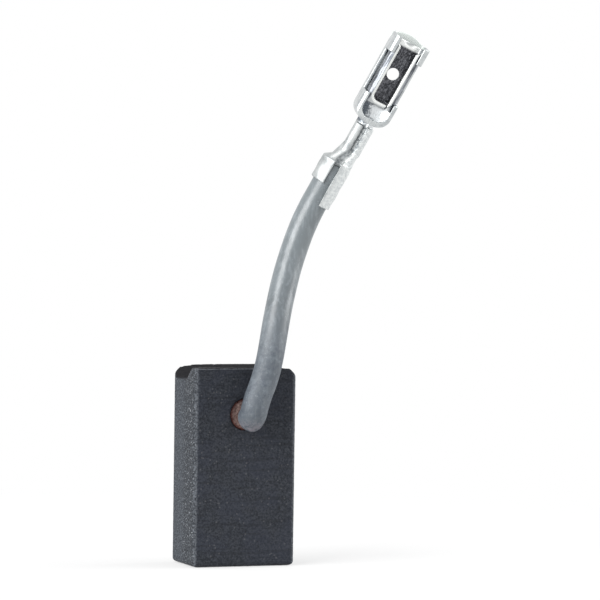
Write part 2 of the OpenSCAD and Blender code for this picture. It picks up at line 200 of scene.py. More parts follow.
class Nodes:
    """A short way to write a material's node tree."""

    def __init__(self, tree):
        self.tree = tree

    def add(self, kind, **settings):
        node = self.tree.nodes.new(kind)
        for name, value in settings.items():
            setattr(node, name, value)
        return node

    def link(self, source, target):
        self.tree.links.new(source, target)

    def feed(self, socket, value):
        """Links a socket to another node's output, or sets its value."""
        if isinstance(value, bpy.types.NodeSocket):
            self.link(value, socket)
        else:
            socket.default_value = value

    # Points and directions

    def place(self):
        """The point in the row frame, in millimetres."""
        where = self.add("ShaderNodeTexCoord").outputs["Object"]
        scaled = self.add("ShaderNodeVectorMath", operation="SCALE")
        self.link(where, scaled.inputs[0])
        scaled.inputs["Scale"].default_value = 1 / MM
        return scaled.outputs[0]

    def normal(self):
        return self.add("ShaderNodeNewGeometry").outputs["Normal"]

    def vectors(self, operation, a, b=(0, 0, 0)):
        """The outputs of a vector operation: Vector, and Value for a length or a product."""
        node = self.add("ShaderNodeVectorMath", operation=operation)
        self.feed(node.inputs[0], a)
        self.feed(node.inputs[1], b)
        return node.outputs

    def length(self, where):
        return self.vectors("LENGTH", where)["Value"]

    def stretched(self, where, x, y, z):
        return self.vectors("MULTIPLY", where, (x, y, z))["Vector"]

    def turned(self, where, angles):
        node = self.add("ShaderNodeVectorRotate", rotation_type="EULER_XYZ")
        self.link(where, node.inputs["Vector"])
        node.inputs["Rotation"].default_value = angles
        return node.outputs[0]

    def in_receptacle(self, where):
        """A point in the receptacle's own frame, in millimetres."""
        return self.turned(self.vectors("SUBTRACT", where, RECEPTACLE_AT)["Vector"], untilted())

    def split(self, where):
        node = self.add("ShaderNodeSeparateXYZ")
        self.link(where, node.inputs[0])
        return node.outputs

    # Patterns

    def noise(self, where, scale, detail, roughness):
        node = self.add("ShaderNodeTexNoise")
        self.link(where, node.inputs["Vector"])
        node.inputs["Scale"].default_value = scale
        node.inputs["Detail"].default_value = detail
        node.inputs["Roughness"].default_value = roughness
        return node.outputs["Fac"]

    def cells(self, where, scale):
        """Distance to the nearest of many scattered points, 0 at each."""
        node = self.add("ShaderNodeTexVoronoi")
        self.link(where, node.inputs["Vector"])
        node.inputs["Scale"].default_value = scale
        return node.outputs["Distance"]

    # Numbers

    def math(self, operation, a, b=0.0, c=0.0):
        node = self.add("ShaderNodeMath", operation=operation)
        self.feed(node.inputs[0], a)
        self.feed(node.inputs[1], b)
        self.feed(node.inputs[2], c)
        return node.outputs[0]

    def chain(self, operation, first, *others):
        """One operation over many values, from the first to the last."""
        for other in others:
            first = self.math(operation, first, other)
        return first

    def times(self, *values):
        return self.chain("MULTIPLY", *values)

    def plus(self, *values):
        return self.chain("ADD", *values)

    def minus(self, *values):
        return self.chain("SUBTRACT", *values)

    def largest(self, *values):
        return self.chain("MAXIMUM", *values)

    def absolute(self, value):
        return self.math("ABSOLUTE", value)

    def ramp(self, value, low, high, to_low=0.0, to_high=1.0):
        """Maps low..high of a value to to_low..to_high, smoothly and clamped."""
        node = self.add("ShaderNodeMapRange", interpolation_type="SMOOTHSTEP")
        self.feed(node.inputs["Value"], value)
        node.inputs["From Min"].default_value = low
        node.inputs["From Max"].default_value = high
        node.inputs["To Min"].default_value = to_low
        node.inputs["To Max"].default_value = to_high
        return node.outputs["Result"]

    # Colours

    def mix(self, share, a, b):
        node = self.add("ShaderNodeMix", data_type="RGBA")
        self.feed(node.inputs["Factor"], share)
        self.feed(node.inputs["A"], a)
        self.feed(node.inputs["B"], b)
        return node.outputs["Result"]

    def between(self, value, low, high, a, b):
        """Colour a where the value is low and b where it is high."""
        return self.mix(self.ramp(value, low, high), a, b)

    def cover(self, base, colour, *shares):
        """A base that a colour covers by the product of the shares."""
        return self.mix(self.times(*shares), base, colour)

    def bands(self, value, stops):
        """Grey levels at places along 0..1 of a value, blended between."""
        node = self.add("ShaderNodeValToRGB")
        self.link(value, node.inputs["Fac"])
        ramp = node.color_ramp
        for place, _ in stops[:-2]:
            ramp.elements.new(place)
        for element, (place, level) in zip(ramp.elements, stops):
            element.position = place
            element.color = (level, level, level, 1)
        return node.outputs["Color"]

    # What a ray or a surface meets

    def background_share(self):
        """1 for the rays that show the background: the camera's, reflections and glass."""
        ray = self.add("ShaderNodeLightPath").outputs
        return self.largest(ray["Is Camera Ray"], ray["Is Glossy Ray"],
                            ray["Is Transmission Ray"])

    def open_share(self, reach):
        """How open the surface is within reach millimetres: 1 outside, less in gaps and recesses."""
        node = self.add("ShaderNodeAmbientOcclusion", samples=8)
        node.inputs["Distance"].default_value = reach * MM
        return node.outputs["AO"]

    def bump(self, height, depth, below=None):
        """Bump of a 0..1 height whose full range is depth millimetres deep."""
        node = self.add("ShaderNodeBump")
        node.inputs["Strength"].default_value = 1
        node.inputs["Distance"].default_value = depth * MM
        self.link(height, node.inputs["Height"])
        if below is not None:
            self.link(below, node.inputs["Normal"])
        return node.outputs["Normal"]


def new_material(name):
    """A material with a principled shader; returns it, its nodes and its shader."""
    material = bpy.data.materials.new(name)
    material.use_nodes = True
    shader = material.node_tree.nodes["Principled BSDF"]
    return material, Nodes(material.node_tree), shader


# --- materials -----------------------------------------------------------------------------


CARBON_DARK = srgb(34, 37, 43)
CARBON_LIGHT = srgb(59, 62, 68)
CARBON_CLOUD = srgb(50, 54, 66)
CARBON_RULED = srgb(32, 34, 38)
CARBON_FLECK = srgb(104, 105, 107)
CARBON_PIT = srgb(24, 25, 28)
GROUND_DARK = srgb(42, 45, 51)
GROUND_LIGHT = srgb(78, 83, 89)
GROUND_FLECK = srgb(132, 136, 142)
SPECK_DARK = srgb(34, 36, 40)
SPECK_LIGHT = srgb(156, 160, 165)
CREST_WORN = srgb(98, 102, 108)
TOP_EDGE_WEAR_AND_HIGHLIGHT = srgb(110, 113, 118)
# Painted shade for the top and its groove
GROOVE_SHADE_DARK = srgb(22, 22, 24)
GROOVE_SHADE_LIGHT = srgb(38, 38, 41)


def carbon_material():
    """Pressed carbon: a dark grain with brighter flecks, ruled marks and worn upright edges. The
    top's long edges are worn and carry a painted highlight, and its upward faces are near-black with
    painted shade.
    """
    material, n, shader = new_material("carbon")
    low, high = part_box("carbon_block")
    half_width = (high.x - low.x) / 2 / MM
    half_depth = (high.y - low.y) / 2 / MM
    where = n.place()
    x, y, z = n.split(where)
    facing_up = n.split(n.normal())[2]

    grain = n.noise(where, scale=6.5, detail=4, roughness=0.75)
    cloud = n.noise(where, scale=0.45, detail=3, roughness=0.6)
    fine = n.noise(where, scale=9.0, detail=3, roughness=0.7)
    patches = n.noise(where, scale=2.2, detail=3, roughness=0.7)
    ruled = n.noise(n.stretched(where, 0.28, 0.28, 5.0), scale=1.0, detail=2, roughness=0.5)
    pits = n.ramp(n.cells(where, scale=3.6), 0.26, 0.08)
    flecks = n.ramp(n.cells(where, scale=6.5), 0.42, 0.12)
    few_flecks = n.ramp(n.cells(where, scale=2.4), 0.22, 0.08)

    from_side = n.minus(half_width, n.absolute(x))
    from_front = n.minus(half_depth, n.absolute(y))
    from_top = n.minus(high.z / MM, z)
    on_side = n.ramp(from_side, *GROUND_FACE_IN)
    speckled = n.times(n.ramp(from_side, *SPECKLED_IN), n.ramp(y, *SPECKLED_TO_FRONT))
    crest = n.times(n.ramp(from_side, *CREST_IN), n.ramp(from_front, *CREST_IN))
    top_edge = n.times(n.ramp(from_top, *TOP_EDGE_DOWN), n.ramp(from_front, *TOP_EDGE_IN))
    groove_shade = n.times(n.ramp(from_top, *GROOVE_DOWN), n.ramp(facing_up, 0.25, 0.5))

    # The pressed faces, with fine ruled marks across them
    base = n.between(grain, 0.38, 0.64, CARBON_DARK, CARBON_LIGHT)
    base = n.cover(base, CARBON_CLOUD, n.ramp(cloud, 0.42, 0.62), 0.30)
    base = n.cover(base, CARBON_RULED, n.ramp(ruled, 0.52, 0.66), 0.42)
    base = n.cover(base, CARBON_FLECK, few_flecks, 0.35)

    # The narrow faces are ground: they show many bright flecks, most of all on their front half
    ground = n.between(grain, 0.40, 0.62, GROUND_DARK, GROUND_LIGHT)
    ground = n.cover(ground, GROUND_FLECK, flecks, 0.42)
    base = n.cover(base, ground, on_side)
    base = n.cover(base, SPECK_DARK, speckled, n.ramp(grain, 0.60, 0.44, 0.0, 0.8))
    spots = n.times(flecks, n.ramp(patches, 0.44, 0.56), 0.75)
    base = n.cover(base, SPECK_LIGHT, speckled, spots)

    # The upright edges are worn, the top's long edges are worn and carry a painted highlight, and
    # there are pits all over
    base = n.cover(base, CREST_WORN, crest, n.ramp(grain, 0.40, 0.60, 0.1, 0.6))
    base = n.cover(base, TOP_EDGE_WEAR_AND_HIGHLIGHT, top_edge, n.ramp(grain, 0.38, 0.56, 0.45, 0.85))
    base = n.cover(base, CARBON_PIT, pits, 0.60)

    # Painted shade: the groove and the rest of the top, where they face up, are near-black, and no
    # flecks show there
    base = n.cover(base, n.mix(grain, GROOVE_SHADE_DARK, GROOVE_SHADE_LIGHT), groove_shade)
    n.link(base, shader.inputs["Base Color"])

    n.link(n.ramp(fine, 0.3, 0.7, 0.62, 0.85), shader.inputs["Roughness"])
    shader.inputs["Specular IOR Level"].default_value = 0.18

    height = n.plus(n.times(grain, 0.6), n.times(fine, 0.3))
    height = n.minus(height, n.times(pits, 0.5), n.times(n.ramp(ruled, 0.52, 0.7), 0.14))
    n.link(n.bump(height, depth=0.035), shader.inputs["Normal"])
    return material


POWDER_DARK = srgb(92, 70, 66)
POWDER_LIGHT = srgb(138, 118, 112)
POWDER_RIM = srgb(84, 40, 34)
POWDER_SPARKLE = srgb(186, 158, 144)


def tamped_copper_material():
    """Copper powder pressed into the hole: dull red-brown grains, darker towards the rim."""
    material, n, shader = new_material("tamped_copper")
    low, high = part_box("copper_tamping")
    where = n.place()
    x, _, z = n.split(where)

    grain = n.noise(where, scale=6.0, detail=4, roughness=0.75)
    sparkle = n.ramp(n.cells(where, scale=9.0), 0.28, 0.08)
    up = n.minus(z, (low.z + high.z) / 2 / MM)
    from_axis = n.math("SQRT", n.plus(n.times(x, x), n.times(up, up)))

    base = n.between(grain, 0.36, 0.66, POWDER_DARK, POWDER_LIGHT)
    base = n.cover(base, POWDER_RIM, n.ramp(from_axis, *POWDER_RIM_OUT))
    base = n.cover(base, POWDER_SPARKLE, sparkle, 0.4)
    n.link(base, shader.inputs["Base Color"])
    shader.inputs["Metallic"].default_value = 0.35
    shader.inputs["Roughness"].default_value = 0.62
    n.link(n.bump(grain, depth=0.05), shader.inputs["Normal"])
    return material


COPPER_BRIGHT = srgb(186, 136, 112)
COPPER_TARNISHED = srgb(148, 98, 80)
COPPER_GREY = srgb(112, 110, 108)


def strand_material():
    """Fine drawn copper wires, a little tarnished, and grey inside the crimps."""
    material, n, shader = new_material("copper_strand")
    where = n.place()
    along_z = n.split(n.in_receptacle(where))[2]

    tarnish = n.noise(where, scale=2.2, detail=3, roughness=0.6)
    drawn = n.noise(where, scale=14.0, detail=2, roughness=0.6)

    base = n.between(tarnish, 0.35, 0.68, COPPER_BRIGHT, COPPER_TARNISHED)
    base = n.cover(base, COPPER_GREY, n.ramp(along_z, *FLARE_Z))
    n.link(base, shader.inputs["Base Color"])
    shader.inputs["Metallic"].default_value = 1.0
    n.link(n.ramp(tarnish, 0.3, 0.7, 0.28, 0.45), shader.inputs["Roughness"])
    n.link(n.bump(drawn, depth=0.008), shader.inputs["Normal"])
    return material


SILICONE_DARK = srgb(84, 92, 97)
SILICONE_LIGHT = srgb(104, 112, 117)
SILICONE_UPPER_LIT = srgb(106, 114, 118)
SILICONE_DRAWN = srgb(140, 148, 153)
SILICONE_DUST_AND_SHADE = srgb(60, 69, 80)
SILICONE_RUBBED = srgb(120, 129, 138)
SILICONE_COPPERED = srgb(136, 126, 134)
SILICONE_DUST = srgb(172, 178, 182)


def silicone_material():
    """Grey silicone rubber: smooth and half glossy, with faint clouds, dust and drawn lines, painted
    light on its upper part and painted shade round the elbow.
    """
    material, n, shader = new_material("silicone")
    where = n.place()
    z = n.split(where)[2]

    cloud = n.noise(where, scale=0.55, detail=3, roughness=0.55)
    haze = n.noise(where, scale=2.2, detail=4, roughness=0.65)
    drawn = n.noise(n.stretched(where, 3.2, 3.2, 0.7), scale=1.0, detail=3, roughness=0.6)
    mottle = n.noise(where, scale=3.4, detail=4, roughness=0.7)
    dust = n.ramp(n.cells(where, scale=4.2), 0.16, 0.05)

    base = n.between(cloud, 0.35, 0.65, SILICONE_DARK, SILICONE_LIGHT)
    # Painted light makes the upper part of the sleeve lighter
    base = n.cover(base, SILICONE_UPPER_LIT, n.ramp(z, *LIT_UPPER_SLEEVE))
    base = n.cover(base, SILICONE_DRAWN, n.ramp(drawn, 0.46, 0.66), 0.42)

    # Carbon dust and painted shade have greyed the sleeve round the elbow, and copper dust clings to
    # its cut end
    dust_and_shade = n.ramp(n.plus(z, n.times(haze, 3.0)), *DUSTY_SHADED_SLEEVE)
    rubbed = n.times(dust_and_shade, n.ramp(haze, 0.50, 0.64))
    at_end = n.ramp(n.plus(z, n.times(mottle, 1.4)), *CUT_END)
    base = n.cover(base, SILICONE_DUST_AND_SHADE, dust_and_shade, n.ramp(mottle, 0.34, 0.60, 1.0, 0.60))
    base = n.cover(base, SILICONE_RUBBED, rubbed, 0.26)
    base = n.cover(base, SILICONE_COPPERED, at_end, n.ramp(mottle, 0.40, 0.62, 0.0, 0.6))
    base = n.cover(base, SILICONE_DUST, dust, 0.35)
    n.link(base, shader.inputs["Base Color"])

    rough = n.plus(n.ramp(haze, 0.3, 0.7, 0.29, 0.37), n.times(dust_and_shade, 0.30))
    n.link(rough, shader.inputs["Roughness"])
    shader.inputs["Specular IOR Level"].default_value = 1.0
    n.link(n.bump(haze, depth=0.008), shader.inputs["Normal"])
    return material


def slot_distance_nodes(n, x, z):
    """Distance outwards from the slot's rounded outline."""
    half = (SLOT_TOP - SLOT_BOTTOM) / 2
    across = n.plus(n.absolute(x), SLOT_CORNER_R - SLOT_HALF_W)
    upwards = n.plus(n.absolute(n.minus(z, SLOT_MIDDLE)), SLOT_CORNER_R - half)
    corner = n.add("ShaderNodeCombineXYZ")
    n.link(n.largest(across, 0.0), corner.inputs[0])
    n.link(n.largest(upwards, 0.0), corner.inputs[1])
    return n.minus(n.length(corner.outputs[0]), SLOT_CORNER_R)


TIN_DARK = srgb(168, 172, 173)
TIN_LIGHT = srgb(200, 203, 203)
TIN_SCRATCH = srgb(164, 166, 163)
TIN_GAP_SHADE = srgb(50, 52, 58)
TIN_SEAM_SHADE = srgb(98, 104, 108)
TIN_PAINTED_HIGHLIGHT = srgb(232, 234, 232)
BEATEN_DARK = srgb(206, 210, 211)
BEATEN_LIGHT = srgb(226, 229, 228)
DISH_PAINTED_LIGHT = srgb(236, 240, 242)
DISH_PAINTED_SHADE = srgb(60, 70, 82)
STREAK_DARK = srgb(74, 78, 86)
STREAK_LIGHT = srgb(158, 162, 168)
DULL_SHADED_DARK = srgb(56, 57, 61)
DULL_SHADED_LIGHT = srgb(116, 117, 122)


def tin_material():
    """Bright tin plating over brass: satin where the crimping tool pressed it, with scratches.
    The slot's rim and the scoop carry a painted highlight, and the sheet at the bottom of the box is
    dull and darkened with painted shade. Painted shade darkens its gaps, the crimp's seam and the
    dish's left, and painted light brightens the dish's right."""
    material, n, shader = new_material("tinned_brass")
    where = n.place()
    along = n.in_receptacle(where)
    x, y, z = n.split(along)
    facing = n.split(n.turned(n.normal(), untilted()))[1]

    cloud = n.noise(where, scale=1.1, detail=3, roughness=0.6)
    dents = n.noise(where, scale=2.6, detail=2, roughness=0.5)
    mottle = n.noise(where, scale=4.5, detail=3, roughness=0.6)
    scratch = n.noise(n.stretched(along, 9.0, 9.0, 1.1), scale=1.0, detail=3, roughness=0.6)
    speckle = n.noise(n.stretched(along, 1.0, 1.0, 0.5), scale=9.0, detail=3, roughness=0.7)

    on_crimp = n.ramp(z, *CRIMP_Z)
    off_crimp = n.minus(1.0, on_crimp)
    right_side = n.ramp(x, *RIGHT_LOBE_X)
    # Painted shade darkens the gaps and recesses off the crimp
    gap_shade = n.ramp(n.open_share(0.5), 0.80, 0.35, 0.0, 0.90)
    base = n.between(cloud, 0.35, 0.65, TIN_DARK, TIN_LIGHT)
    base = n.cover(base, TIN_SCRATCH, n.ramp(scratch, 0.58, 0.74), 0.4)
    base = n.cover(base, TIN_GAP_SHADE, gap_shade, off_crimp)

    # The tool has beaten the crimps' right lobes
    beaten = n.between(mottle, 0.40, 0.60, BEATEN_DARK, BEATEN_LIGHT)
    base = n.cover(base, beaten, on_crimp, right_side)

    # Painted shade darkens the seam of the strand crimp and, below it, the edges of the wings' gap
    seam_x = n.ramp(z, SEAM_SHIFT_FROM, SEAM_SHIFT_TO, 0.0, WING_GAP_X)
    at_seam = n.times(n.ramp(n.absolute(n.minus(x, seam_x)), *SEAM_OUT), n.ramp(facing, 0.1, -0.3))
    seam_shade = n.times(on_crimp, n.ramp(mottle, 0.36, 0.56, 0.95, 0.6))
    base = n.cover(base, TIN_SEAM_SHADE, at_seam, seam_shade)

    # The dish between the crimp and the box has painted light on its right and painted shade on its
    # left
    in_dish = n.minus(n.ramp(z, *DISH_Z), on_crimp)
    shade = n.ramp(n.plus(x, n.times(mottle, 1.2)), *DISH_SHADE_X, 0.0, 0.9)
    base = n.cover(base, n.mix(shade, DISH_PAINTED_LIGHT, DISH_PAINTED_SHADE), in_dish)

    # The box: streaked flanks, a painted highlight on the rim and scoop, and a dull speckled floor
    # darkened with painted shade
    flank = n.times(n.ramp(n.absolute(x), *FLANK_X), n.times(n.ramp(z, *FLANK_Z), 0.9))
    rim = n.times(n.ramp(slot_distance_nodes(n, x, z), *SLOT_RIM_OUT), n.ramp(y, *SLOT_RIM_Y))
    scoop = n.times(n.ramp(z, *SCOOP_Z), n.ramp(y, *SCOOP_Y), n.ramp(facing, -0.3, -0.5))
    rim_highlight = n.largest(rim, scoop)
    floor_span = n.times(n.ramp(z, *FLOOR_SHEET_FROM_Z), n.ramp(z, *FLOOR_SHEET_TO_Z))
    on_floor = n.times(n.ramp(y, *FLOOR_SHEET_Y), n.ramp(facing, -0.3, -0.7), floor_span)
    base = n.cover(base, n.between(scratch, 0.42, 0.58, STREAK_DARK, STREAK_LIGHT), flank)
    base = n.cover(base, TIN_PAINTED_HIGHLIGHT, rim_highlight)
    # The floor sheet's dull speckle is darkened with painted shade
    base = n.cover(base, n.between(speckle, 0.40, 0.64, DULL_SHADED_DARK, DULL_SHADED_LIGHT), on_floor)
    n.link(base, shader.inputs["Base Color"])

    n.link(n.minus(1.0, n.times(in_dish, 0.25)), shader.inputs["Metallic"])
    satin = n.largest(rim_highlight, on_floor, n.ramp(z, *SATIN_FOOT_Z, 0.0, 0.6), flank)
    rough = n.plus(n.ramp(scratch, 0.3, 0.7, 0.18, 0.30), n.times(on_crimp, 0.14),
                   n.times(satin, 0.22))
    n.link(rough, shader.inputs["Roughness"])

    normal = n.bump(dents, depth=0.020)
    normal = n.bump(n.times(mottle, on_crimp, right_side), depth=0.060, below=normal)
    n.link(n.bump(scratch, depth=0.003, below=normal), shader.inputs["Normal"])
    return material


STEEL_DARK = srgb(182, 186, 188)
STEEL_LIGHT = srgb(210, 214, 214)
STEEL_ROLLED = srgb(126, 130, 138)
STEEL_GAP_SHADE = srgb(66, 69, 75)
STEEL_MOUTH_PAINTED_LIGHT = srgb(222, 228, 225)


def spring_material():
    """Bright rolled stainless sheet, with faint rolling lines along the cage, painted shade in its
    gaps, and a satin mouth brightened with painted light.
    """
    material, n, shader = new_material("spring_steel")
    where = n.place()
    along = n.in_receptacle(where)
    _, y, z = n.split(along)

    rolled = n.noise(n.stretched(along, 14.0, 14.0, 0.8), scale=1.0, detail=3, roughness=0.6)
    cloud = n.noise(where, scale=1.4, detail=3, roughness=0.6)
    at_mouth = n.times(n.ramp(z, *MOUTH_Z), n.ramp(y, *MOUTH_Y))

    base = n.between(cloud, 0.35, 0.65, STEEL_DARK, STEEL_LIGHT)
    base = n.cover(base, STEEL_ROLLED, n.ramp(rolled, 0.54, 0.68), 0.45)
    # Painted shade darkens the gaps and recesses
    base = n.cover(base, STEEL_GAP_SHADE, n.ramp(n.open_share(0.4), 0.72, 0.30, 0.0, 0.80))
    # Painted light brightens the mouth, which is also satin
    base = n.cover(base, STEEL_MOUTH_PAINTED_LIGHT, at_mouth)
    n.link(base, shader.inputs["Base Color"])

    n.link(n.minus(1.0, n.times(at_mouth, 0.65)), shader.inputs["Metallic"])
    rough = n.plus(n.ramp(rolled, 0.3, 0.7, 0.20, 0.32), n.times(at_mouth, 0.30))
    n.link(rough, shader.inputs["Roughness"])
    normal = n.bump(cloud, depth=0.012)
    n.link(n.bump(rolled, depth=0.002, below=normal), shader.inputs["Normal"])
    return material


# --- mesh helpers ----------------------------------------------------------------------------


def receptacle_turn():
    """How the receptacle's own frame is turned in the row frame."""
    return (Matrix.Rotation(math.radians(LEAN_HEADING), 4, "Z")
            @ Matrix.Rotation(math.radians(LEAN_SIDE), 4, "Y")
            @ Matrix.Rotation(math.radians(LEAN_FRONT), 4, "X")
            @ Matrix.Rotation(math.radians(TURN), 4, "Z"))


def untilted():
    """The turn that brings a direction of the row frame into the receptacle's own frame."""
    return receptacle_turn().inverted().to_euler("XYZ")


def receptacle_place():
    """The receptacle's own frame, in millimetres, as a matrix to the row frame in millimetres."""
    return Matrix.Translation(Vector(RECEPTACLE_AT)) @ receptacle_turn()


def into_scene(name, data):
    """A new object of the scene with this mesh, lamp or camera."""
    item = bpy.data.objects.new(name, data)
    bpy.context.scene.collection.objects.link(item)
    return item


def new_mesh(name, points, faces):
    mesh = bpy.data.meshes.new(name)
    mesh.from_pydata([tuple(p) for p in points], [], faces)
    mesh.update()
    return mesh


def mesh_piece(name, points, faces):
    """A new object of the scene, from points and faces."""
    return into_scene(name, new_mesh(name, points, faces))


def points_of(mesh):
    """A mesh's points as an array."""
    flat = np.empty(len(mesh.vertices) * 3)
    mesh.vertices.foreach_get("co", flat)
    return flat.reshape(-1, 3)


def normals_of(mesh):
    """The normal at each point of a mesh."""
    flat = np.empty(len(mesh.vertices) * 3)
    mesh.vertex_normals.foreach_get("vector", flat)
    return flat.reshape(-1, 3)


def set_points(mesh, points):
    mesh.vertices.foreach_set("co", points.ravel())
    mesh.update()


def finer_copy(node, name, voxel, rounding, place=None, added=None):
    """A new object with the shape of a CAD node, in even small faces and with softened edges.
    It is left in millimetres, in the frame that place leads from. A closed mesh that is added
    there becomes one with it."""
    place = place or Matrix.Identity(4)
    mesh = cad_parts[node].data.copy()
    mesh.name = name
    mesh.materials.clear()
    mesh.transform(place.inverted() @ Matrix.Scale(1 / MM, 4))
    if added:
        both = bmesh.new()
        both.from_mesh(mesh)
        both.from_mesh(added)
        both.to_mesh(mesh)
        both.free()
        bpy.data.meshes.remove(added)
    piece = into_scene(name, mesh)
    remesh = piece.modifiers.new("remesh", "REMESH")
    remesh.mode = "VOXEL"
    remesh.voxel_size = voxel
    smooth = piece.modifiers.new("smooth", "SMOOTH")
    smooth.factor = 0.5
    smooth.iterations = rounding
    graph = bpy.context.evaluated_depsgraph_get()
    piece.data = bpy.data.meshes.new_from_object(piece.evaluated_get(graph))
    piece.data.name = name
    piece.modifiers.clear()
    bpy.data.meshes.remove(mesh)
    return piece


def push_along_normals(piece, depth_at):
    """Moves each point along its normal by depth_at(point, normal), in millimetres."""
    points = points_of(piece.data)
    normals = normals_of(piece.data)
    depths = np.array([depth_at(Vector(p), Vector(m)) for p, m in zip(points, normals)])
    set_points(piece.data, points + normals * depths[:, None])


def crumbly(point):
    """Rough noise: three octaves, each twice as fine as the one before and half as strong."""
    falloff, finer_by, octaves = 1.0, 2.0, 3
    return noise.fractal(point, falloff, finer_by, octaves)


def finish_piece(piece, material, replaced, place=None):
    """Brings a piece made in millimetres into the row frame and gives it its finish."""
    place = place or Matrix.Identity(4)
    piece.data.transform(Matrix.Scale(MM, 4) @ place)
    for face in piece.data.polygons:
        face.use_smooth = True
    piece.data.materials.clear()
    piece.data.materials.append(material)
    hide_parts(replaced)
    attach(piece, "root")


def circle(sides):
    """The cosines and sines of even steps round a circle."""
    angles = [2 * math.pi * side / sides for side in range(sides)]
    return [(math.cos(angle), math.sin(angle)) for angle in angles]


def smooth_path(route, steps):
    """A smooth curve through the route's points, with steps parts between each pair."""
    points = [np.array(p, float) for p in route]
    points = [2 * points[0] - points[1], *points, 2 * points[-1] - points[-2]]
    path = []
    for a, b, c, d in zip(points, points[1:], points[2:], points[3:]):
        ab, bc, cd = (np.linalg.norm(v) for v in (b - a, c - b, d - c))
        leave = (c - b) + bc * ((b - a) / ab - (c - a) / (ab + bc))
        arrive = (c - b) + bc * ((d - c) / cd - (d - b) / (bc + cd))
        for k in range(steps):
            t = k / steps
            path.append((2 * t**3 - 3 * t**2 + 1) * b + (t**3 - 2 * t**2 + t) * leave
                        + (3 * t**2 - 2 * t**3) * c + (t**3 - t**2) * arrive)
    path.append(points[-2])
    return np.array(path)


def frames_along(path):
    """Two directions across the path at each of its points, which don't twist along it."""
    along = np.gradient(path, axis=0)
    along /= np.linalg.norm(along, axis=1)[:, None]
    side = np.cross(along[0], (0, 0, 1.0))
    sides = []
    for heading in along:
        side = side - heading * np.dot(side, heading)
        side /= np.linalg.norm(side)
        sides.append(side)
    sides = np.array(sides)
    return sides, np.cross(along, sides)


def ring_faces(rings, count, start=0, flip=False):
    """The quads of a tube whose rings of count points are stored one after another."""
    faces = []
    for ring in range(rings - 1):
        for k in range(count):
            a = start + ring * count + k
            b = start + ring * count + (k + 1) % count
            quad = (a, b, b + count, a + count)
            faces.append(quad[::-1] if flip else quad)
    return faces


def end_faces(rings, count, start=0):
    """The two faces that close such a tube."""
    end = start + (rings - 1) * count
    return [tuple(range(start + count - 1, start - 1, -1)), tuple(range(end, end + count))]


# --- pieces --------------------------------------------------------------------------------


def make_block():
    """The carbon block, with a grain that is really there and crumbled edges."""
    edge_reach = 0.30
    chip_depth, chip_scale, chips_from = 0.12, 2.3, 0.25
    chip_seed = Vector((7, 3, 5))
    grain_depth, grain_scale = 0.008, 5.5
    low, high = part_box("carbon_block")
    middle = (low + high) / 2 / MM
    half = (high - low) / 2 / MM
    piece = finer_copy("carbon_block", "carbon_block_worn", voxel=0.09, rounding=1)

    def depth_at(point, _):
        away = [half[k] - abs(point[k] - middle[k]) for k in range(3)]
        away.sort()
        near_edge = max(0.0, 1 - away[1] / edge_reach)
        chips = noise.noise(point * chip_scale + chip_seed)
        worn = near_edge * max(0.0, chips - chips_from) * chip_depth
        return grain_depth * crumbly(point * grain_scale) - worn

    push_along_normals(piece, depth_at)
    finish_piece(piece, carbon_material(), "carbon_block")


def make_tamping():
    """The tamped copper powder, coarse where it shows round the lead."""
    coarse_to = 0.08
    grain_depth, grain_scale = 0.05, 4.5
    heap_height = 0.06
    piece = finer_copy("copper_tamping", "copper_tamping_grains", voxel=0.05, rounding=1)
    low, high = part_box("copper_tamping")
    face = low.y / MM

    def depth_at(point, _):
        if point.y > face + coarse_to:
            return 0.0
        centre = Vector((0, point.y, (low.z + high.z) / 2 / MM))
        inside = max(0.0, 1 - (point - centre).length / HOLE_R)
        return grain_depth * crumbly(point * grain_scale) + heap_height * inside - grain_depth

    push_along_normals(piece, depth_at)
    finish_piece(piece, tamped_copper_material(), "copper_tamping")


def make_flex(path):
    """The lead: bundles of fine copper wires, twisted round each other."""
    bundles, wires, sides = 7, 7, 6
    bundle_lay = 3.4
    wire_lay = bundle_lay * 0.6
    spacing = FLEX_R * 0.66
    bundle_r = FLEX_R - spacing
    wire_r = bundle_r * 0.36
    run = np.concatenate([[0], np.cumsum(np.linalg.norm(np.diff(path, axis=0), axis=1))])
    across, down = frames_along(path)

    def wound(middle, reach, turns):
        """A path that winds round another one, at a distance."""
        angle = 2 * math.pi * turns
        return middle + reach * (np.cos(angle)[:, None] * across + np.sin(angle)[:, None] * down)

    section = circle(sides)
    points, faces = [], []
    for bundle in range(bundles):
        reach = 0.0 if bundle == 0 else spacing
        centre = wound(path, reach, run / bundle_lay + bundle / (bundles - 1))
        for wire in range(wires):
            reach = 0.0 if wire == 0 else bundle_r - wire_r
            axis = wound(centre, reach, -run / wire_lay + wire / (wires - 1))
            start = len(points)
            for k, middle in enumerate(axis):
                for cos, sin in section:
                    points.append(middle + wire_r * (cos * across[k] + sin * down[k]))
            faces += ring_faces(len(axis), sides, start) + end_faces(len(axis), sides, start)
    piece = mesh_piece("copper_flex_strands", points, faces)
    finish_piece(piece, strand_material(), "copper_flex")


